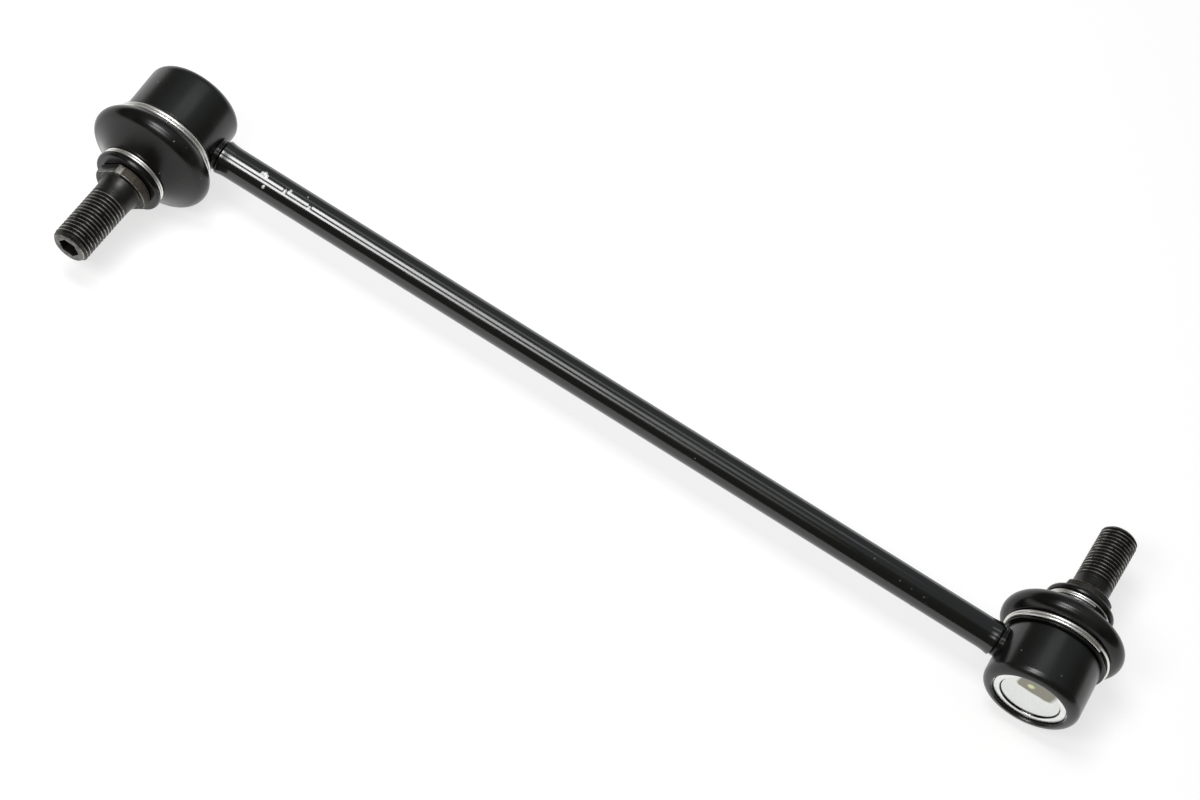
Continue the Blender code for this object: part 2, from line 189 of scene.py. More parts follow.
def ramp(value, low, high):
    """0 at low, 1 at high, straight between and level beyond. Low may be the larger one."""
    return min(max((value - low) / (high - low), 0.0), 1.0)


def ease(value, low, high):
    """A ramp with a soft start and a soft end."""
    share = ramp(value, low, high)
    return share * share * (3 - 2 * share)


print("a 1 mm fillet on a square corner:", len(rounded([(0, 0), (5, 0, 1), (5, 5), (0, 5)])))

# %% [markdown]
# `turn` spins an outline with the spin operator. An outline that starts and ends on the axis
# closes there by itself, any other one is a ring and closes on itself. Outlines are written in
# millimetres, because that is how a drawing of such a part gives them.

# %% Helpers for meshes
SPIN_MERGE = 0.0001 * MM
CUT_MERGE = 0.001 * MM


def turn(points, steps, axis="Z"):
    """A closed turned shape from its outline of (radius, height) in mm."""
    bm = bmesh.new()
    along = {"Z": Vector((0, 0, 1)), "X": Vector((1, 0, 0))}[axis]
    out = {"Z": Vector((1, 0, 0)), "X": Vector((0, 0, 1))}[axis]
    verts = [bm.verts.new((out * r + along * h) * MM) for r, h in points]
    pairs = list(zip(verts, verts[1:]))
    if points[0][0] > 0:
        pairs.append((verts[-1], verts[0]))
    edges = [bm.edges.new(pair) for pair in pairs]
    bmesh.ops.spin(bm, geom=verts + edges, cent=(0, 0, 0), axis=along,
                   angle=2 * math.pi, steps=steps, use_merge=True)
    bmesh.ops.remove_doubles(bm, verts=bm.verts, dist=SPIN_MERGE)
    bmesh.ops.recalc_face_normals(bm, faces=bm.faces)
    return bm


def finish_piece(name, bm, place, finish, smooth_angle=35):
    """Writes a bmesh into an object whose place is in its mesh."""
    bmesh.ops.transform(bm, matrix=place, verts=bm.verts)
    mesh = bpy.data.meshes.new(name)
    bm.to_mesh(mesh)
    bm.free()
    mesh.shade_smooth()
    mesh.set_sharp_from_angle(angle=math.radians(smooth_angle))
    mesh.materials.append(finish)
    made = bpy.data.objects.new(name, mesh)
    bpy.context.scene.collection.objects.link(made)
    print(name, "faces:", len(mesh.polygons))
    return made


def to_bmesh(made):
    """The object's mesh with its modifiers applied, as a bmesh. The object is removed."""
    graph = bpy.context.evaluated_depsgraph_get()
    bm = bmesh.new()
    bm.from_mesh(made.evaluated_get(graph).to_mesh())
    bpy.data.objects.remove(made, do_unlink=True)
    return bm


def cut(bm, cutters):
    """Takes the cutters' shapes out of a bmesh with the exact Boolean."""
    mesh = bpy.data.meshes.new("blank")
    bm.to_mesh(mesh)
    bm.free()
    blank = bpy.data.objects.new("blank", mesh)
    bpy.context.scene.collection.objects.link(blank)
    tools = []
    for cutter in cutters:
        tool_mesh = bpy.data.meshes.new("cutter")
        cutter.to_mesh(tool_mesh)
        cutter.free()
        tool = bpy.data.objects.new("cutter", tool_mesh)
        bpy.context.scene.collection.objects.link(tool)
        change = blank.modifiers.new("cut", "BOOLEAN")
        change.operation = "DIFFERENCE"
        change.solver = "EXACT"
        change.object = tool
        tools.append(tool)
    bpy.context.view_layer.update()
    result = to_bmesh(blank)
    for tool in tools:
        bpy.data.objects.remove(tool, do_unlink=True)
    return result


print("a test ring has", len(turn([(5, 0), (6, 0), (6, 1)], 32).faces), "faces")

# %% [markdown]
# ## Finishes
#
# A finish is a Principled shader whose colour, roughness and bump come from noise, in object
# coordinates so that it sits still on the steel. Effects that several finishes share are node
# groups: `specks` scatters dust and dirt, and `unevenness` gives a slow and a fine ripple.


# %% Helpers for materials
def new_group(name, inputs, outputs):
    """A shader node group with float inputs and outputs, and its two end nodes."""
    group = bpy.data.node_groups.new(name, "ShaderNodeTree")
    kind = "NodeSocketFloat"
    for label, value in inputs.items():
        made = group.interface.new_socket(name=label, in_out="INPUT", socket_type=kind)
        made.default_value = value
    for label in outputs:
        group.interface.new_socket(name=label, in_out="OUTPUT", socket_type=kind)
    return group, group.nodes.new("NodeGroupInput"), group.nodes.new("NodeGroupOutput")


def node(tree, kind, **settings):
    made = tree.nodes.new(kind)
    for key, value in settings.items():
        setattr(made, key, value)
    return made


def math_node(tree, operation, first, second=None, clamp=False):
    """A Math node fed by sockets or by numbers."""
    made = node(tree, "ShaderNodeMath", operation=operation, use_clamp=clamp)
    for slot_index, value in enumerate((first, second)):
        if value is None:
            continue
        if isinstance(value, (int, float)):
            made.inputs[slot_index].default_value = value
        else:
            tree.links.new(value, made.inputs[slot_index])
    return made.outputs[0]


def noise_node(tree, coordinates, scale, detail, roughness):
    """A noise texture. Its scale is a socket with the number of ripples per metre."""
    made = node(tree, "ShaderNodeTexNoise")
    tree.links.new(coordinates, made.inputs["Vector"])
    tree.links.new(scale, made.inputs["Scale"])
    made.inputs["Detail"].default_value = detail
    made.inputs["Roughness"].default_value = roughness
    return made.outputs["Fac"]


def smooth_step(tree, value, low, high):
    """0 up to low, 1 from high on, and a soft rise between."""
    made = node(tree, "ShaderNodeMapRange", interpolation_type="SMOOTHSTEP")
    tree.links.new(value, made.inputs["Value"])
    made.inputs["From Min"].default_value = low
    made.inputs["From Max"].default_value = high
    return made.outputs["Result"]


print("material helpers are ready")

# %% The two shared effects
SPECK_SHARPNESS = 24.0


def make_specks():
    """Scattered round specks: a mask that is 1 in a speck and 0 beside it."""
    group, ins, outs = new_group("specks", {"Scale": 400.0, "Size": 0.1, "Share": 0.3}, ["Mask"])
    place = node(group, "ShaderNodeTexCoord").outputs["Object"]
    cells = node(group, "ShaderNodeTexVoronoi", feature="F1")
    group.links.new(place, cells.inputs["Vector"])
    group.links.new(ins.outputs["Scale"], cells.inputs["Scale"])
    split = node(group, "ShaderNodeSeparateColor")
    group.links.new(cells.outputs["Color"], split.inputs["Color"])
    size = math_node(group, "MULTIPLY", ins.outputs["Size"], split.outputs["Green"])
    dot = math_node(group, "SUBTRACT", size, cells.outputs["Distance"])
    dot = math_node(group, "MULTIPLY", dot, SPECK_SHARPNESS, clamp=True)
    chosen = math_node(group, "LESS_THAN", split.outputs["Red"], ins.outputs["Share"])
    group.links.new(math_node(group, "MULTIPLY", dot, chosen), outs.inputs["Mask"])
    return group


def make_unevenness():
    """A slow ripple for roughness and colour, and a fine one for the bump."""
    group, ins, outs = new_group("unevenness", {"Slow": 60.0, "Fine": 900.0}, ["Slow", "Fine"])
    place = node(group, "ShaderNodeTexCoord").outputs["Object"]
    slow = noise_node(group, place, ins.outputs["Slow"], detail=3.0, roughness=0.55)
    fine = noise_node(group, place, ins.outputs["Fine"], detail=4.0, roughness=0.6)
    group.links.new(slow, outs.inputs["Slow"])
    group.links.new(fine, outs.inputs["Fine"])
    return group


SPECKS = make_specks()
UNEVENNESS = make_unevenness()
print("groups:", SPECKS.name, UNEVENNESS.name)


# %% Start a material
def new_finish(name, metallic=0.0):
    """A material, the tree to build in and its Principled node."""
    made = bpy.data.materials.new(name)
    made.use_nodes = True
    tree = made.node_tree
    shader = tree.nodes["Principled BSDF"]
    shader.inputs["Metallic"].default_value = metallic
    return made, tree, shader


def use_group(tree, group, **values):
    made = node(tree, "ShaderNodeGroup", node_tree=group)
    for label, value in values.items():
        made.inputs[label].default_value = value
    return made


def mix_colour(tree, mask, first, second):
    """The first colour where the mask is 0, the second where it is 1."""
    made = node(tree, "ShaderNodeMix", data_type="RGBA")
    tree.links.new(mask, made.inputs["Factor"])
    for label, value in (("A", first), ("B", second)):
        place = [s for s in made.inputs if s.name == label and s.type == "RGBA"][0]
        if isinstance(value, tuple):
            place.default_value = (*value, 1.0)
        else:
            tree.links.new(value, place)
    return [s for s in made.outputs if s.type == "RGBA"][0]


def spread(tree, value, low, high):
    """Maps 0..1 to low..high."""
    made = node(tree, "ShaderNodeMapRange")
    tree.links.new(value, made.inputs["Value"])
    made.inputs["To Min"].default_value = low
    made.inputs["To Max"].default_value = high
    return made.outputs["Result"]


def set_roughness(tree, shader, value, low, high):
    """The roughness follows a value, from low where it is 0 to high where it is 1."""
    tree.links.new(spread(tree, value, low, high), shader.inputs["Roughness"])


def bump(tree, shader, height, distance):
    made = node(tree, "ShaderNodeBump")
    made.inputs["Distance"].default_value = distance
    tree.links.new(height, made.inputs["Height"])
    tree.links.new(made.outputs["Normal"], shader.inputs["Normal"])


print("finish helpers are ready")

# %% [markdown]
# Black paint covers bar, housings and necks. It is a thin gloss black with a slow change in
# sheen, a fine orange-peel ripple and a few pale dust nibs. On the bar it is so smooth that a
# lamp shows in it as a crisp line. On the housings it is duller, so the same lamps only leave a
# soft band. One function makes both, with its own roughness and ripple for each. Where the mesh
# carries a drop of weld spatter, the paint gets a pale painted highlight, with a ragged edge
# from the ripple.

# %% Black paint
PAINT_COLOUR = (0.0065, 0.0068, 0.0065)
NIB_COLOUR = (0.16, 0.16, 0.15)
# The pale colour on the spatter drops is a painted highlight.
SPATTER_HIGHLIGHT_COLOUR = (0.55, 0.55, 0.53)
HIGHLIGHT_REACH = 1.5
HIGHLIGHT_SHARPNESS = 3.0


def attribute(tree, name):
    """A value that the mesh carries. It reads 0 on a mesh that doesn't have it."""
    return node(tree, "ShaderNodeAttribute", attribute_name=name).outputs["Fac"]


def make_paint(name, gloss, smoothest, roughest, ripple, nib_share):
    made, tree, shader = new_finish(name)
    shader.inputs["Specular IOR Level"].default_value = gloss
    uneven = use_group(tree, UNEVENNESS, Slow=55.0, Fine=1100.0)
    nibs = use_group(tree, SPECKS, Scale=850.0, Size=0.26, Share=nib_share)
    colour = mix_colour(tree, nibs.outputs["Mask"], PAINT_COLOUR, NIB_COLOUR)
    # Painted highlight: a pale colour on the drops of weld spatter, with a ragged edge
    spatter_glint = math_node(tree, "MULTIPLY", attribute(tree, "spatter"), HIGHLIGHT_REACH)
    spatter_glint = math_node(tree, "SUBTRACT", spatter_glint, uneven.outputs["Fine"], clamp=True)
    spatter_glint = math_node(tree, "MULTIPLY", spatter_glint, HIGHLIGHT_SHARPNESS, clamp=True)
    colour = mix_colour(tree, spatter_glint, colour, SPATTER_HIGHLIGHT_COLOUR)
    tree.links.new(colour, shader.inputs["Base Color"])
    patches = smooth_step(tree, uneven.outputs["Slow"], low=0.3, high=0.7)
    set_roughness(tree, shader, patches, smoothest, roughest)
    raised = math_node(tree, "ADD", uneven.outputs["Fine"], nibs.outputs["Mask"])
    bump(tree, shader, raised, ripple)
    return made


BAR_PAINT = make_paint("bar_paint", gloss=0.8, smoothest=0.1, roughest=0.17,
                       ripple=0.004 * MM, nib_share=0.02)
HOUSING_PAINT = make_paint("housing_paint", gloss=0.55, smoothest=0.2, roughest=0.3,
                           ripple=0.008 * MM, nib_share=0.03)
print("paints:", BAR_PAINT.name, HOUSING_PAINT.name)

# %% [markdown]
# The boots are moulded rubber: nearly black, dull with a soft sheen, a fine grain, and pale
# dust that clings to it in specks.

# %% Rubber
RUBBER_COLOUR = (0.004, 0.004, 0.0037)
RUBBER_BLOOM = (0.013, 0.013, 0.0115)
DUST_COLOUR = (0.2, 0.2, 0.17)
RUBBER_GLOSS = 0.36


def make_rubber():
    made, tree, shader = new_finish("boot_rubber")
    shader.inputs["Specular IOR Level"].default_value = RUBBER_GLOSS
    uneven = use_group(tree, UNEVENNESS, Slow=75.0, Fine=2600.0)
    dust = use_group(tree, SPECKS, Scale=850.0, Size=0.24, Share=0.07)
    patches = smooth_step(tree, uneven.outputs["Slow"], low=0.35, high=0.7)
    tint = mix_colour(tree, patches, RUBBER_COLOUR, RUBBER_BLOOM)
    colour = mix_colour(tree, dust.outputs["Mask"], tint, DUST_COLOUR)
    tree.links.new(colour, shader.inputs["Base Color"])
    set_roughness(tree, shader, patches, low=0.2, high=0.32)
    bump(tree, shader, uneven.outputs["Fine"], distance=0.012 * MM)
    return made


RUBBER = make_rubber()
print("rubber:", RUBBER.name)

# %% [markdown]
# The wire rings are bright drawn wire. The caps are zinc plated and silver. Both are metals, so
# their colour is the tint of their reflection. A cap's disc has a brown painted reflection in a
# band across one part, with a pale yellow painted highlight in it, a dark line of painted shade
# where the disc was pressed in, and small dirt specks. The mesh marks the disc, the line and the
# band, and the finish shifts the band's edge a little with a noise.

# %% Bright metals
WIRE_COLOUR = (0.95, 0.94, 0.91)
WIRE_SHADE = (0.8, 0.79, 0.76)
ZINC_COLOUR = (0.94, 0.95, 0.93)
ZINC_SHADE = (0.72, 0.73, 0.72)
DISC_COLOUR = (0.76, 0.78, 0.75)
REFLECTION_BAND_COLOUR = (0.25, 0.235, 0.19)
BAND_HIGHLIGHT_COLOUR = (0.62, 0.64, 0.36)
GROOVE_SHADE_AND_DIRT_COLOUR = (0.03, 0.03, 0.028)
BAND_EDGE_SHIFT = 0.5


def make_wire():
    made, tree, shader = new_finish("spring_wire", metallic=1.0)
    uneven = use_group(tree, UNEVENNESS, Slow=500.0, Fine=4000.0)
    colour = mix_colour(tree, uneven.outputs["Slow"], WIRE_COLOUR, WIRE_SHADE)
    tree.links.new(colour, shader.inputs["Base Color"])
    set_roughness(tree, shader, uneven.outputs["Slow"], low=0.3, high=0.45)
    bump(tree, shader, uneven.outputs["Fine"], distance=0.002 * MM)
    return made


def make_zinc():
    made, tree, shader = new_finish("zinc_plate", metallic=1.0)
    uneven = use_group(tree, UNEVENNESS, Slow=180.0, Fine=3000.0)
    dirt = use_group(tree, SPECKS, Scale=650.0, Size=0.22, Share=0.03)
    colour = mix_colour(tree, uneven.outputs["Slow"], ZINC_COLOUR, ZINC_SHADE)
    colour = mix_colour(tree, attribute(tree, "disc"), colour, DISC_COLOUR)
    # The band is a painted reflection, and its pale spot is a painted highlight.
    shift = math_node(tree, "MULTIPLY", uneven.outputs["Slow"], BAND_EDGE_SHIFT)
    for name, tint in (("reflection_band", REFLECTION_BAND_COLOUR), ("band_highlight", BAND_HIGHLIGHT_COLOUR)):
        shifted = math_node(tree, "ADD", attribute(tree, name), shift)
        mask = smooth_step(tree, shifted, low=0.55, high=0.95)
        colour = mix_colour(tree, mask, colour, tint)
    # Painted shade: the dark line in the groove. The dirt specks below share its colour.
    colour = mix_colour(tree, attribute(tree, "groove"), colour, GROOVE_SHADE_AND_DIRT_COLOUR)
    colour = mix_colour(tree, dirt.outputs["Mask"], colour, GROOVE_SHADE_AND_DIRT_COLOUR)
    tree.links.new(colour, shader.inputs["Base Color"])
    set_roughness(tree, shader, uneven.outputs["Slow"], low=0.2, high=0.34)
    bump(tree, shader, uneven.outputs["Fine"], distance=0.004 * MM)
    return made


WIRE = make_wire()
ZINC = make_zinc()
print("metals:", WIRE.name, ZINC.name)

# %% [markdown]
# The studs are black from phosphate and oil. Where a spanner has rubbed the collar, the steel
# shows through as thin bright lines. The thread's crests and the tip get the same bright colour
# as a painted highlight. The collar's rim was never machined, so it keeps the rough brown skin
# of the forging. Each stud's faces carry two values: `wear` is up to 1 on the thread's crests
# and tip, where it is painted highlight, and on the collar's edges, where it is wear, and `skin`
# is up to 1 on the rim. The values sit on faces, not on points, because a point shares its value
# with every face round it and would smear the line.

# %% Phosphate with worn edges
PHOSPHATE_COLOUR = (0.006, 0.0059, 0.0056)
PHOSPHATE_BLOOM = (0.014, 0.0134, 0.0118)
# Bright steel: wear on the collar's edges, painted highlight on the thread's crests and tip.
WORN_AND_HIGHLIGHT_COLOUR = (0.42, 0.4, 0.37)
SKIN_COLOUR = (0.035, 0.03, 0.022)
SKIN_SPECK_COLOUR = (0.13, 0.115, 0.085)
STUD_METALLIC = 0.3
WORN_METALLIC = 0.65
STUD_ROUGHNESS = 0.36
WORN_SMOOTHING = 0.08
SKIN_ROUGHENING = 0.2
PLAIN_GRAIN = 0.12


def make_phosphate():
    made, tree, shader = new_finish("phosphate", metallic=STUD_METALLIC)
    uneven = use_group(tree, UNEVENNESS, Slow=700.0, Fine=3500.0)
    rub = smooth_step(tree, uneven.outputs["Slow"], low=0.3, high=0.56)
    # The bright colour is wear on the collar and painted highlight on the thread's crests and tip.
    worn_and_highlit = math_node(tree, "MULTIPLY", attribute(tree, "wear"), rub)
    tint = mix_colour(tree, rub, PHOSPHATE_COLOUR, PHOSPHATE_BLOOM)
    grain = smooth_step(tree, uneven.outputs["Fine"], low=0.5, high=0.62)
    skin = mix_colour(tree, grain, SKIN_COLOUR, SKIN_SPECK_COLOUR)
    is_skin = attribute(tree, "skin")
    colour = mix_colour(tree, worn_and_highlit, mix_colour(tree, is_skin, tint, skin), WORN_AND_HIGHLIGHT_COLOUR)
    tree.links.new(colour, shader.inputs["Base Color"])
    smoothed = math_node(tree, "MULTIPLY", worn_and_highlit, WORN_SMOOTHING)
    roughened = math_node(tree, "MULTIPLY", is_skin, SKIN_ROUGHENING)
    rough = math_node(tree, "ADD", math_node(tree, "SUBTRACT", STUD_ROUGHNESS, smoothed), roughened)
    tree.links.new(rough, shader.inputs["Roughness"])
    bared = math_node(tree, "MULTIPLY", worn_and_highlit, WORN_METALLIC)
    metal = math_node(tree, "ADD", STUD_METALLIC, bared, clamp=True)
    tree.links.new(metal, shader.inputs["Metallic"])
    depth = spread(tree, is_skin, low=PLAIN_GRAIN, high=1.0)
    raised = math_node(tree, "MULTIPLY", uneven.outputs["Fine"], depth)
    bump(tree, shader, raised, distance=0.06 * MM)
    return made


PHOSPHATE = make_phosphate()
print("stud finish:", PHOSPHATE.name)

# %% [markdown]
# ## The bar
#
# A drawn round bar, pressed against the housings' necks while hot, so each end is upset a
# little. It is turned about X. The paint covers drops of weld spatter, bumps of a tenth or two
# of a millimetre. A bump map would shade them, but their edges catch the light and bend the
# bright lines, so the points of the mesh are moved instead.

# %% Bar outline
BAR_R = 5.0
NECK_END = 16.35
SEAM = 0.3
BAR_END = HEAD_SPACING / MM / 2 - (NECK_END + SEAM)
# The upset end: how far back from the end, and the radius there
UPSET = [(0.0, 5.1), (0.2, 5.35), (0.6, 5.34), (1.2, 5.25), (2.0, 5.11), (3.0, 5.02), (4.0, 5.0)]
# Stretches of the bar from and to, and how far apart its rings of points lie there
STRETCHES = [(-128.0, -124.0, 1.0), (-123.5, -101.0, 0.25), (-99.0, 97.0, 2.0),
             (98.0, 114.0, 0.25), (115.0, 129.0, 1.0)]


def stations(first, last, step):
    """Evenly spaced places along the bar, both ends included."""
    count = round((last - first) / step)
    return [first + (last - first) * i / count for i in range(count + 1)]


def bar_outline():
    """Rings of points lie close together where the spatter is, and far apart elsewhere."""
    right = [(0, BAR_END)] + [(radius, BAR_END - back) for back, radius in UPSET]
    left = [(radius, -x) for radius, x in reversed(right)]
    places = [x for stretch in STRETCHES for x in stations(*stretch)]
    return right + [(BAR_R, x) for x in reversed(places)] + left


print("points in the bar's outline:", len(bar_outline()))

# %% Bar
# Along the bar in mm, angle in degrees from the far side over the top, height, half width, and
# how strong the painted highlight on the drop is
SPATTER = [
    (-121.2, 93, 0.2, 0.7, 1.0), (-120.3, 89, 0.24, 0.8, 0.8), (-119.6, 94, 0.14, 0.6, 1.0),
    (-118.9, 135, 0.18, 0.65, 0.8), (-112.7, 106, 0.16, 0.75, 0.7), (-111.3, 95, 0.16, 0.6, 0.9),
    (-106.1, 80, 0.12, 0.45, 0.6), (-104.0, 109, 0.14, 0.65, 0.6), (-106.1, 149, 0.12, 0.6, 0.12),
    (110.2, 133, 0.13, 0.8, 0.06), (111.3, 137, 0.1, 0.7, 0.1), (110.9, 129, 0.1, 0.6, 0.05),
    (105.9, 130, 0.1, 0.6, 0.08), (101.8, 126, 0.1, 0.5, 0.08), (108.5, 196, 0.12, 0.7, 0.1),
]


def add_spatter(bm):
    """Raises each drop on the bar and marks how strong its painted highlight is."""
    layer = bm.verts.layers.float.new("spatter")
    for x, angle, height, width, glint_strength in SPATTER:
        turned = math.radians(angle)
        spot = Vector((x, BAR_R * math.cos(turned), BAR_R * math.sin(turned))) * MM
        for vert in bm.verts:
            near = (vert.co - spot).length / (width * MM)
            if near < 1:
                out = Vector((0, vert.co.y, vert.co.z)).normalized()
                vert.co += out * height * MM * (1 - near * near) ** 2
                vert[layer] = max(vert[layer], glint_strength * ramp(near, 1.0, 0.5))


bar_mesh = turn(bar_outline(), steps=128, axis="X")
add_spatter(bar_mesh)
bar = finish_piece("painted_bar", bar_mesh, Matrix(), BAR_PAINT)
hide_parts("link_rod")
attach(bar, "link")

# %% [markdown]
# ## Housings
#
# A housing is a turned cup. Its bottom edge is rolled over the cap, a groove near its top holds
# the boot, and its mouth is flared so that the stud can swing. A short neck stands out of its
# side, and the weld has left ridges on it. Cup and neck are two spun outlines. The neck starts
# inside the cup's wall, so that no gap shows and nothing has to be joined.

# %% Housing and neck
# From the rolled edge in past the cap's groove, up the bore to the mouth, and down the outside
HOUSING_CORNERS = [
    (15.25, -12.0, 2.87), (12.1, -12.0, 0.35), (11.9, -11.6, 0.15), (11.9, -11.0),
    (13.3, -11.0), (13.3, -8.6), (11.9, -8.6), (11.9, 7.9), (8.9, 7.9, 0.15), (9.78, 9.8, 0.3),
    (14.2, 9.8, 0.25), (14.2, 9.0, 0.2), (13.5, 9.0), (13.5, 5.8), (15.25, 5.8, 0.35),
]
NECK_CORNERS = [
    (0, 12.7), (4.6, 12.7), (4.6, 14.55), (5.05, 14.85, 0.15), (4.7, 15.15, 0.1),
    (5.1, 15.45, 0.15), (4.7, 15.75, 0.1), (5.05, 16.05, 0.15), (4.6, NECK_END), (0, NECK_END),
]


def make_housing(end):
    shell = turn(rounded(HOUSING_CORNERS, count=8), steps=160)
    name = "painted_housing_" + end
    made = finish_piece(name, shell, HEADS[end], HOUSING_PAINT)
    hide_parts("housing_" + end)
    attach(made, "link")
    ridges = turn(rounded(NECK_CORNERS), steps=64, axis="X")
    neck = finish_piece("weld_neck_" + end, ridges, HEADS[end], BAR_PAINT)
    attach(neck, "link")


for end_name in HEADS:
    make_housing(end_name)

# %% [markdown]
# The cap is pressed sheet: a raised ring that the rim grips, and a sunk disc, a little dished.
# The groove between them is modelled too, and its faces carry a dark line of painted shade.
# Faces and points are marked by their place on the cap, so one finish fits both caps, whichever
# way they face.

# %% End caps
DISC_R = 9.3
GROOVE_R = 9.55
BAND_HIGHLIGHT_PLACE = (2.2, 5.6)
CAP_CORNERS = [
    (0, -10.3), (1.5, -10.3), (3.0, -10.31), (4.5, -10.33), (6.0, -10.35), (7.5, -10.38),
    (9.2, -10.42), (9.35, -10.32, 0.1), (9.5, -10.32, 0.1), (9.62, -11.0, 0.2),
    (11.6, -11.0, 0.35), (11.6, -10.7), (13.0, -10.7), (13.0, -8.9), (0, -8.9),
]


def mark_faces(bm, name, value_of):
    """Stores a value on every face, worked out from the face."""
    layer = bm.faces.layers.float.new(name)
    for face in bm.faces:
        face[layer] = value_of(face)


def mark_points(bm, name, value_of):
    """Stores a value on every point, worked out from its place in mm."""
    layer = bm.verts.layers.float.new(name)
    for vert in bm.verts:
        vert[layer] = value_of(vert.co.x / MM, vert.co.y / MM)


def from_axis(face):
    """How far a face's middle lies from the turning axis, in mm."""
    return face.calc_center_median().xy.length / MM


def reflection_band_at(x, y):
    """Painted reflection: 1 in a band across the cap's upper part, fading at its lower edge and at
    both ends.
    """
    return ramp(y, 1.6, 3.4) * ramp(x, 7.6, 5.0) * ramp(x, -7.5, -3.5)


def band_highlight_at(x, y):
    """Painted highlight: 1 at the pale spot in the band."""
    return ramp(math.hypot(x - BAND_HIGHLIGHT_PLACE[0], y - BAND_HIGHLIGHT_PLACE[1]), 1.9, 0.5)


def make_cap(end):
    cap = turn(rounded(CAP_CORNERS), steps=128)
    mark_faces(cap, "disc", lambda face: float(from_axis(face) < DISC_R))
    # The groove's faces carry the dark line of painted shade.
    mark_faces(cap, "groove", lambda face: float(DISC_R < from_axis(face) < GROOVE_R))
    # Points carry the painted reflection band and its painted highlight.
    mark_points(cap, "reflection_band", reflection_band_at)
    mark_points(cap, "band_highlight", band_highlight_at)
    made = finish_piece("zinc_cap_" + end, cap, HEADS[end], ZINC)
    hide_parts("end_cap_" + end)
    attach(made, "link")


for end_name in HEADS:
    make_cap(end_name)

# %% [markdown]
# ## Dust boots
#
# A boot is a rubber bellows with one big fold. It grips the housing's groove with a bead and
# the stud with a lip, and it leans with the stud. Its points are turned about the ball, from
# nothing near the housing to the stud's full lean near the lip.

# %% Boots
BULGE_CENTRE = (16.2, 12.7)
BULGE_TUBE = 3.4
BOOT_WALL = 1.7
LIP_LOW = 22.7
LIP_HIGH = 24.5
OUTER_PULL = (13.2, 18.1)
INNER_PULL = (11.5, 16.4)
# Heights where the boot starts to lean and where it leans fully
LEAN_START = 9.8
LEAN_FULL = 19.7


def boot_outline():
    """From the bead out over the fold and in to the lip, then back down the inside."""
    outer = arc(BULGE_CENTRE, BULGE_TUBE, -88, 68, 20)
    inner = arc(BULGE_CENTRE, BULGE_TUBE - BOOT_WALL, 68, -88, 10)
    bead = rounded([(13.8, 6.1), (16.4, 6.1, 0.2), (16.4, 6.6, 0.15), (15.72, 6.65),
                    (15.72, 9.24)], 3)
    lip = rounded([(10.9, 20.3), (10.75, 20.6, 0.2), (9.65, 20.75), (9.65, LIP_LOW - 0.1),
                   (10.9, LIP_LOW, 0.3), (11.2, (LIP_LOW + LIP_HIGH) / 2, 1.2),
                   (10.8, LIP_HIGH, 0.4), (7.7, LIP_HIGH), (7.7, 20.0), (8.9, 18.8)], 5)
    return [*bead, *outer, *curve(outer[-1], OUTER_PULL, lip[0], 12), *lip,
            *curve(lip[-1], INNER_PULL, inner[0], 8), *inner, (14.5, 10.6), (14.5, 8.7), (13.8, 8.7)]


def lean_with_stud(bm):
    """Turns each height about the ball, from nothing at the housing to the full lean."""
    centre = Vector((0, 0, BALL_RISE))
    for vert in bm.verts:
        share = ease(vert.co.z, LEAN_START * MM, LEAN_FULL * MM)
        tilt = Matrix.Rotation(-STUD_LEAN * share, 3, "Y")
        vert.co = centre + tilt @ (vert.co - centre)


def make_boot(end):
    shape = turn(boot_outline(), steps=144)
    lean_with_stud(shape)
    made = finish_piece("rubber_boot_" + end, shape, HEADS[end], RUBBER,
                        smooth_angle=50)
    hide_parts("dust_boot_" + end)
    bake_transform(made)


for end_name in HEADS:
    make_boot(end_name)

# %% [markdown]
# ## Wire rings
#
# Each ring is one wire that goes nearly twice round. The two turns lie flat side by side, and
# half way along the wire crosses from the first to the second. Two closed hoops would be
# simpler, but the wire's ends and its crossing show. So a small circle is spun step by step: a
# spin with a shift along the axis makes the crossing, one without makes the flat turns.
# The rings were put on by hand, so their wires don't all start at the same place round the boot.

# %% Wire rings
WIRE_SEGMENTS = 12
TURN_STEPS = 96
# In degrees: how far the wire goes round, the stretch where it crosses, and where it starts
WIRE_WRAP = 644
CROSSING = 60
RING_STARTS = {"a": {"large": 232, "small": 232}, "b": {"large": 125, "small": 103}}
# In mm: radius to the wire's middle, radius of the wire, shift from turn to turn, height
RING_SIZES = {"large": (16.5, 0.48, 1.06, 7.38), "small": (10.3, 0.35, 0.8, 18.75)}


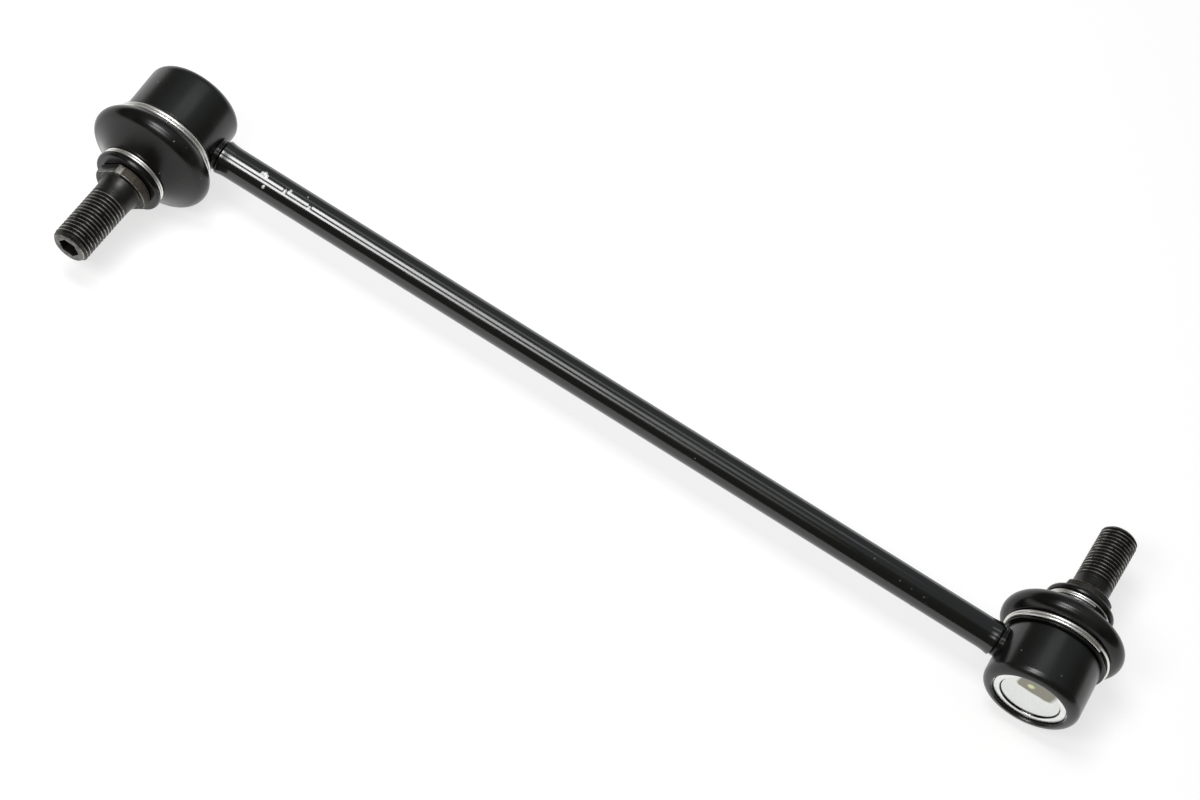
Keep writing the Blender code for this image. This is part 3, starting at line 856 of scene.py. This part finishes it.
def wire_ring(radius, wire_r, pitch, rise, start):
    """A ring in mm. Its lower end lies at the start angle, and it winds clockwise from there."""
    bm = bmesh.new()
    section = bmesh.ops.create_circle(bm, segments=WIRE_SEGMENTS, radius=wire_r * MM)["verts"]
    bmesh.ops.rotate(bm, verts=section, matrix=Matrix.Rotation(math.pi / 2, 3, "X"))
    bmesh.ops.translate(bm, verts=section, vec=(radius * MM, 0, rise * MM))
    bmesh.ops.rotate(bm, verts=section, matrix=Matrix.Rotation(math.radians(start), 3, "Z"))
    count = round(WIRE_WRAP / 360 * TURN_STEPS)
    step = WIRE_WRAP / count

    def risen(along):
        return pitch * ease(along, (WIRE_WRAP - CROSSING) / 2, (WIRE_WRAP + CROSSING) / 2)

    front = list(bm.verts) + list(bm.edges)
    for i in range(count):
        lift = risen((i + 1) * step) - risen(i * step)
        turned = bmesh.ops.spin(bm, geom=front, cent=(0, 0, 0), axis=(0, 0, 1), steps=1,
                                angle=-math.radians(step), dvec=(0, 0, lift * MM))
        front = turned["geom_last"]
    loose_ends = [edge for edge in bm.edges if edge.is_boundary]
    bmesh.ops.holes_fill(bm, edges=loose_ends, sides=WIRE_SEGMENTS)
    bmesh.ops.recalc_face_normals(bm, faces=bm.faces)
    return bm


def make_ring(end, size, place, body):
    ring = wire_ring(*RING_SIZES[size], RING_STARTS[end][size])
    name = f"boot_wire_{size}_{end}"
    made = finish_piece(name, ring, place, WIRE, smooth_angle=60)
    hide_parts(f"boot_ring_{size}_{end}")
    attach(made, body)


for end_name in HEADS:
    make_ring(end_name, "large", HEADS[end_name], "link")
    make_ring(end_name, "small", STUDS[end_name], "lean_" + end_name)

# %% [markdown]
# ## Ball studs
#
# The ball, the neck, the land that the boot grips, the collar with its two wrench flats and the
# flare down to the thread are one turned piece. The flats are cut with a Boolean, as a mill
# would, and the collar's sharp edges are then given a narrow bevel, which is also where wear
# shows.

# %% Stud body
BALL_R = 9.5
THREAD_R = 6.0
COLLAR_LOW = 22.3
COLLAR_HIGH = 25.4
THREAD_START = 29.5
STUD_TIP = 50.0
FLARE_TOP = (6.75, COLLAR_HIGH)
STUD_CORNERS = [
    (5.0, 13.5, 2.0), (7.4, 17.2, 0.6), (7.4, COLLAR_LOW), (8.7, COLLAR_LOW, 0.35),
    (8.7, COLLAR_HIGH, 0.3), (7.1, COLLAR_HIGH, 0.1), (6.9, COLLAR_HIGH - 0.25, 0.1),
]


def stud_outline():
    """From the flat under the ball, over the ball and the collar to the thread's start."""
    ball = arc((0, 0), BALL_R, -71.6, 58.2, 24)
    corners = rounded([ball[-1], *STUD_CORNERS, FLARE_TOP])[1:-1]
    shank_top = (THREAD_R, THREAD_START)
    flare = curve(FLARE_TOP, (THREAD_R, COLLAR_HIGH + 2.0), shank_top, 8)
    return [(0, ball[0][1]), *ball, *corners, *flare, shank_top, (0, THREAD_START)]


print("points in a stud's outline:", len(stud_outline()))

# %% Wrench flats
FLATS_TURN = {"a": 139, "b": 0}
FLATS_ACROSS = 15.0
CUTTER_SIZE = Vector((8.0, 24.0, 3.7))
COLLAR_MARGIN = 0.1
OUTSIDE_LAND = 7.3
SHARP_TURN = 0.6
EDGE_BEVEL = 0.16


def flat_cutter(end, side):
    """A block beside the collar whose inner face is one of the two flats."""
    bm = bmesh.new()
    bmesh.ops.create_cube(bm, size=1.0)
    bmesh.ops.scale(bm, vec=CUTTER_SIZE * MM, verts=bm.verts)
    sideways = side * (FLATS_ACROSS + CUTTER_SIZE.x) / 2
    middle = Vector((sideways, 0, (COLLAR_LOW + COLLAR_HIGH) / 2)) * MM
    bmesh.ops.translate(bm, vec=middle, verts=bm.verts)
    turned = Matrix.Rotation(math.radians(FLATS_TURN[end]), 3, "Z")
    bmesh.ops.rotate(bm, verts=bm.verts, matrix=turned)
    return bm


def on_collar(vert):
    """True for a point on the collar, and false for one on the land inside it."""
    height = vert.co.z / MM
    within = COLLAR_LOW - COLLAR_MARGIN < height < COLLAR_HIGH + COLLAR_MARGIN
    return within and vert.co.xy.length > OUTSIDE_LAND * MM


def collar_edges(bm):
    edges = [e for e in bm.edges if not e.is_boundary and e.calc_face_angle(0) > SHARP_TURN]
    return [e for e in edges if all(on_collar(v) for v in e.verts)]


print("flats across in mm:", FLATS_ACROSS)

# %% [markdown]
# One rim is rougher than the other, and a spanner has rubbed it bare beside a flat. A face is
# part of the rim where it looks outwards, and part of a rounded edge where it looks neither
# quite outwards nor quite along the axis.

# %% Wear and skin on the collar
SKIN_SHARE = {"a": 1.0, "b": 0.4}
# From and to, in degrees round the stud
RUBBED_RIM = {"a": (97, 110), "b": (0, 0)}
RUBBED_WEAR = 0.9
EDGE_WEAR = 0.75
RIM_R = 8.2
RIM_OUTWARD = 0.9
EDGE_R = 6.8
EDGE_SLANT = (0.3, 0.96)


def is_rim(face):
    """1 on the collar's round rim and 0 on its flats, its faces and everywhere else."""
    height = face.calc_center_median().z / MM
    outward = face.normal.xy.length > RIM_OUTWARD and from_axis(face) > RIM_R
    return float(outward and COLLAR_LOW < height < COLLAR_HIGH)


def edge_wear(face, end):
    """Wear on the collar's rounded edges, and on the stretch of rim that was rubbed."""
    middle = face.calc_center_median()
    on_height = COLLAR_LOW < middle.z / MM < COLLAR_HIGH + COLLAR_MARGIN
    if from_axis(face) < EDGE_R or not on_height:
        return 0.0
    first, last = RUBBED_RIM[end]
    if first < math.degrees(math.atan2(middle.y, middle.x)) % 360 < last:
        return RUBBED_WEAR
    return EDGE_WEAR * float(EDGE_SLANT[0] < abs(face.normal.z) < EDGE_SLANT[1])


def make_stud_body(end):
    blank = turn(stud_outline(), steps=128)
    bm = cut(blank, [flat_cutter(end, -1), flat_cutter(end, 1)])
    bmesh.ops.remove_doubles(bm, verts=bm.verts, dist=CUT_MERGE)
    bevelled = bmesh.ops.bevel(bm, geom=collar_edges(bm), offset=EDGE_BEVEL * MM, segments=2,
                               profile=0.5, affect="EDGES", material=-1, offset_type="OFFSET")
    bm.normal_update()
    bright = set(bevelled["faces"])
    mark_faces(bm, "wear", lambda face: max(float(face in bright), edge_wear(face, end)))
    mark_faces(bm, "skin", lambda face: SKIN_SHARE[end] * is_rim(face))
    made = finish_piece("stud_body_" + end, bm, STUDS[end], PHOSPHATE,
                        smooth_angle=32)
    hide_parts("ball_stud_" + end)
    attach(made, "stud_" + end)


for end_name in HEADS:
    make_stud_body(end_name)

# %% [markdown]
# The thread is one groove wound round the shank. One pitch of its profile is spun with a shift
# along the axis, so that the end of each turn meets the start of the next. The ends are cut
# off flat, the first grooves fade into the shank, and the tip is chamfered by pulling points in
# to a cone. Last, a six-sided bit cuts the socket. A metric thread is 0.6134 pitches deep.

# %% Thread
PITCH = 1.25
THREAD_STEPS = 72
THREAD_DEPTH = 0.6134 * PITCH
ROOT_R = THREAD_R - THREAD_DEPTH
# One pitch of the thread: the radius, and how far along the pitch as a share of it
THREAD_PROFILE = [
    (ROOT_R + 0.03, 0.0), (ROOT_R, 0.06), (ROOT_R + 0.07, 0.13), (THREAD_R - 0.05, 0.4),
    (THREAD_R, 0.43), (THREAD_R, 0.57), (THREAD_R - 0.05, 0.6), (ROOT_R + 0.07, 0.87),
    (ROOT_R, 0.94), (ROOT_R + 0.03, 1.0),
]
RUN_OUT = 2.2 * PITCH
TIP_CHAMFER = 0.9
# How far the thread's first points lie inside the shank, along it and across it
HIDDEN_START = 0.05
HIDDEN_DEPTH = 0.02
ON_PLANE = 0.001


def thread_blank():
    bm = bmesh.new()
    low = THREAD_START - 2 * PITCH
    turns = math.ceil((STUD_TIP - low) / PITCH) + 1
    verts = [bm.verts.new((r * MM, 0, (low + share * PITCH) * MM)) for r, share in THREAD_PROFILE]
    edges = [bm.edges.new(pair) for pair in zip(verts, verts[1:])]
    bmesh.ops.spin(bm, geom=verts + edges, cent=(0, 0, 0), axis=(0, 0, 1),
                   dvec=(0, 0, PITCH * MM / THREAD_STEPS), angle=2 * math.pi * turns,
                   steps=THREAD_STEPS * turns)
    bmesh.ops.remove_doubles(bm, verts=bm.verts, dist=CUT_MERGE)
    for height, outward in ((THREAD_START - HIDDEN_START, -1), (STUD_TIP, 1)):
        geometry = list(bm.verts) + list(bm.edges) + list(bm.faces)
        bmesh.ops.bisect_plane(bm, geom=geometry, plane_co=(0, 0, height * MM),
                               plane_no=(0, 0, outward), clear_outer=True)
        rim = [e for e in bm.edges if e.is_boundary]
        rim = [e for e in rim if all(abs(v.co.z / MM - height) < ON_PLANE for v in e.verts)]
        bmesh.ops.holes_fill(bm, edges=rim, sides=0)
    return bm


def shape_thread(bm):
    """Fades the first turns into the shank and pulls the tip in to its chamfer."""
    for vert in bm.verts:
        height, radius = vert.co.z / MM, vert.co.xy.length / MM
        depth = (THREAD_R - radius) * ease(height, THREAD_START, THREAD_START + RUN_OUT)
        if height < THREAD_START + HIDDEN_DEPTH:
            depth = HIDDEN_DEPTH
        wanted = min(THREAD_R - depth, THREAD_R - TIP_CHAMFER + (STUD_TIP - height))
        vert.co.xy *= wanted / radius


print("thread root radius in mm:", round(ROOT_R, 3))

# %% Socket and painted highlight of the thread
# The hexagon is 6 mm across its flats
HEX_CORNER_R = 3.464
SOCKET_DEPTH = 6.0
BIT_LENGTH = 8.0
OUTSIDE_SOCKET = 4.0
AT_TIP = 0.02
TIP_FACE_HIGHLIGHT = 0.35
CREST_BAND = 0.07


def hex_bit():
    bm = bmesh.new()
    corner = HEX_CORNER_R * MM
    bmesh.ops.create_cone(bm, cap_ends=True, segments=6, radius1=corner, radius2=corner,
                          depth=BIT_LENGTH * MM)
    bmesh.ops.rotate(bm, verts=bm.verts, matrix=Matrix.Rotation(math.pi / 6, 3, "Z"))
    middle = STUD_TIP - SOCKET_DEPTH + BIT_LENGTH / 2
    bmesh.ops.translate(bm, verts=bm.verts, vec=(0, 0, middle * MM))
    return bm


def thread_highlight(face):
    """Painted highlight: 1 on the thread's flat top and on the tip's chamfer, less on the tip's
    face, else 0.
    """
    reach = min(vert.co.xy.length for vert in face.verts) / MM
    high = max(vert.co.z for vert in face.verts) / MM
    if high > STUD_TIP - AT_TIP:
        return TIP_FACE_HIGHLIGHT if face.normal.z > 0.9 else float(reach > OUTSIDE_SOCKET)
    return float(reach > THREAD_R - CREST_BAND and high > THREAD_START + RUN_OUT / 2)


def make_thread(end):
    bm = thread_blank()
    shape_thread(bm)
    bmesh.ops.recalc_face_normals(bm, faces=bm.faces)
    bm = cut(bm, [hex_bit()])
    bm.normal_update()
    # On the thread the wear marks are painted highlight on the crests and the tip.
    mark_faces(bm, "wear", thread_highlight)
    made = finish_piece("stud_thread_" + end, bm, STUDS[end], PHOSPHATE,
                        smooth_angle=40)
    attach(made, "stud_" + end)


for end_name in HEADS:
    make_thread(end_name)

# %% [markdown]
# The plastic seat is out of sight inside the housing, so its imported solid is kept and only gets
# a finish of its own.

# %% Seats
ACETAL_COLOUR = (0.78, 0.76, 0.68)
ACETAL_SHADE = (0.7, 0.68, 0.6)


def make_acetal():
    made, tree, shader = new_finish("acetal")
    uneven = use_group(tree, UNEVENNESS, Slow=200.0, Fine=2000.0)
    colour = mix_colour(tree, uneven.outputs["Slow"], ACETAL_COLOUR, ACETAL_SHADE)
    tree.links.new(colour, shader.inputs["Base Color"])
    set_roughness(tree, shader, uneven.outputs["Slow"], low=0.35, high=0.5)
    bump(tree, shader, uneven.outputs["Fine"], distance=0.005 * MM)
    return made


ACETAL = make_acetal()
for end_name in HEADS:
    frame["nodes"]["ball_seat_" + end_name].data.materials.clear()
    frame["nodes"]["ball_seat_" + end_name].data.materials.append(ACETAL)
print("seats dressed")

# %% [markdown]
# ## Studio
#
# The photo has a plain white ground. The floor is pale and takes the shadow. For the camera and
# for reflections it also glows a little, more so further out where the lamps don't reach, so
# that it reads as white and gives the black bar its pale edges.

# %% Floor
FLOOR_DROP = 0.2 * MM
FLOOR_HALF = 12.0
FLOOR_COLOUR = (0.42, 0.42, 0.42, 1)
GLOW_COLOUR = (1, 1, 1, 1)
NEAR_GLOW = 0.7
FAR_GLOW = 0.97
GLOW_START = 0.3
GLOW_END = 1.5


def make_floor():
    bm = bmesh.new()
    bmesh.ops.create_grid(bm, x_segments=1, y_segments=1, size=FLOOR_HALF)
    bmesh.ops.translate(bm, verts=bm.verts, vec=(0, 0, cad_box[0].z - FLOOR_DROP))
    mesh = bpy.data.meshes.new("floor")
    bm.to_mesh(mesh)
    bm.free()
    made = bpy.data.objects.new("floor", mesh)
    bpy.context.scene.collection.objects.link(made)
    return made


def make_floor_finish():
    made = bpy.data.materials.new("floor")
    made.use_nodes = True
    tree = made.node_tree
    shader = tree.nodes["Principled BSDF"]
    shader.inputs["Base Color"].default_value = FLOOR_COLOUR
    shader.inputs["Roughness"].default_value = 0.9
    shader.inputs["Specular IOR Level"].default_value = 0.0
    shader.inputs["Emission Color"].default_value = GLOW_COLOUR
    path = node(tree, "ShaderNodeLightPath")
    seen = math_node(tree, "ADD", path.outputs["Is Camera Ray"], path.outputs["Is Glossy Ray"])
    seen = math_node(tree, "ADD", seen, path.outputs["Is Transmission Ray"], clamp=True)
    distance = node(tree, "ShaderNodeVectorMath", operation="LENGTH")
    place = node(tree, "ShaderNodeTexCoord").outputs["Object"]
    tree.links.new(place, distance.inputs[0])
    outwards = smooth_step(tree, distance.outputs["Value"], GLOW_START, GLOW_END)
    glow = math_node(tree, "MULTIPLY", seen, spread(tree, outwards, NEAR_GLOW, FAR_GLOW))
    tree.links.new(glow, shader.inputs["Emission Strength"])
    return made


floor = make_floor()
floor.data.materials.append(make_floor_finish())
print("floor at mm:", round((cad_box[0].z - FLOOR_DROP) / MM, 2))

# %% [markdown]
# A glossy black thing shows its surroundings more than its own colour, so the room matters. It
# is bright beyond the bar and overhead, and dark on the camera's side and to the left and right.
# That puts a cool grey on the bar's upper half and near-black on its lower half.

# %% World
ROOM_BRIGHT = (0.27, 0.285, 0.295)
ROOM_DARK = (0.085, 0.08, 0.065)
# From and to: the direction's Y where the room turns bright, and its X where it turns dark
BRIGHT_BEYOND = (-0.45, 0.0)
DARK_SIDEWAYS = (0.35, 0.9)


def make_world():
    world = bpy.data.worlds.new("studio")
    world.use_nodes = True
    tree = world.node_tree
    towards = node(tree, "ShaderNodeSeparateXYZ")
    tree.links.new(node(tree, "ShaderNodeTexCoord").outputs["Object"], towards.inputs["Vector"])
    beyond = smooth_step(tree, towards.outputs["Y"], *BRIGHT_BEYOND)
    sideways = math_node(tree, "ABSOLUTE", towards.outputs["X"])
    outside = smooth_step(tree, sideways, *DARK_SIDEWAYS)
    inside = math_node(tree, "SUBTRACT", 1.0, outside)
    lit = math_node(tree, "MULTIPLY", beyond, inside)
    colour = mix_colour(tree, lit, ROOM_DARK, ROOM_BRIGHT)
    tree.links.new(colour, tree.nodes["Background"].inputs["Color"])
    bpy.context.scene.world = world
    return world


print("world:", make_world().name)

# %% [markdown]
# Two strips hang over the bar and draw the two parallel lines on it, one from nearly overhead
# and one from the camera's side. They are brightest at their left end and fade from there to
# past the middle, as a light does that gets further away, so each is a row of panels, each
# weaker than the one before. A soft box beyond the bar gives the housings and boots their satin
# bands.

# %% Lights
# From and to along the bar in metres, and the panel's share of the strip's glow
STRIP_PANELS = [(-0.45, -0.24, 1.0), (-0.24, -0.18, 0.76), (-0.18, -0.13, 0.55),
                (-0.13, -0.08, 0.35), (-0.08, -0.03, 0.24), (-0.03, 0.02, 0.11),
                (0.02, 0.07, 0.07), (0.07, 0.12, 0.04)]
STRIP_GLOW = 15.0


def add_panel(name, place, size, glow):
    """An area lamp that faces the bar's axis. Its power follows from its glow and size."""
    lamp = bpy.data.lights.new(name, "AREA")
    lamp.shape = "RECTANGLE"
    lamp.size, lamp.size_y = size
    lamp.energy = glow * math.pi * size[0] * size[1]
    made = bpy.data.objects.new(name, lamp)
    made.location = place
    made.rotation_euler = (math.atan2(-place[1], place[2]), 0, 0)
    bpy.context.scene.collection.objects.link(made)


def add_strip(name, y, z, width):
    for start, end, share in STRIP_PANELS:
        place = ((start + end) / 2, y, z)
        add_panel(name, place, (end - start, width), STRIP_GLOW * share)


add_strip("strip_overhead", y=-0.055, z=0.898, width=0.27)
add_strip("strip_before", y=-0.457, z=0.775, width=0.21)
add_panel("soft_box", place=(-0.08, 0.5, 0.9), size=(0.5, 0.22), glow=0.9)
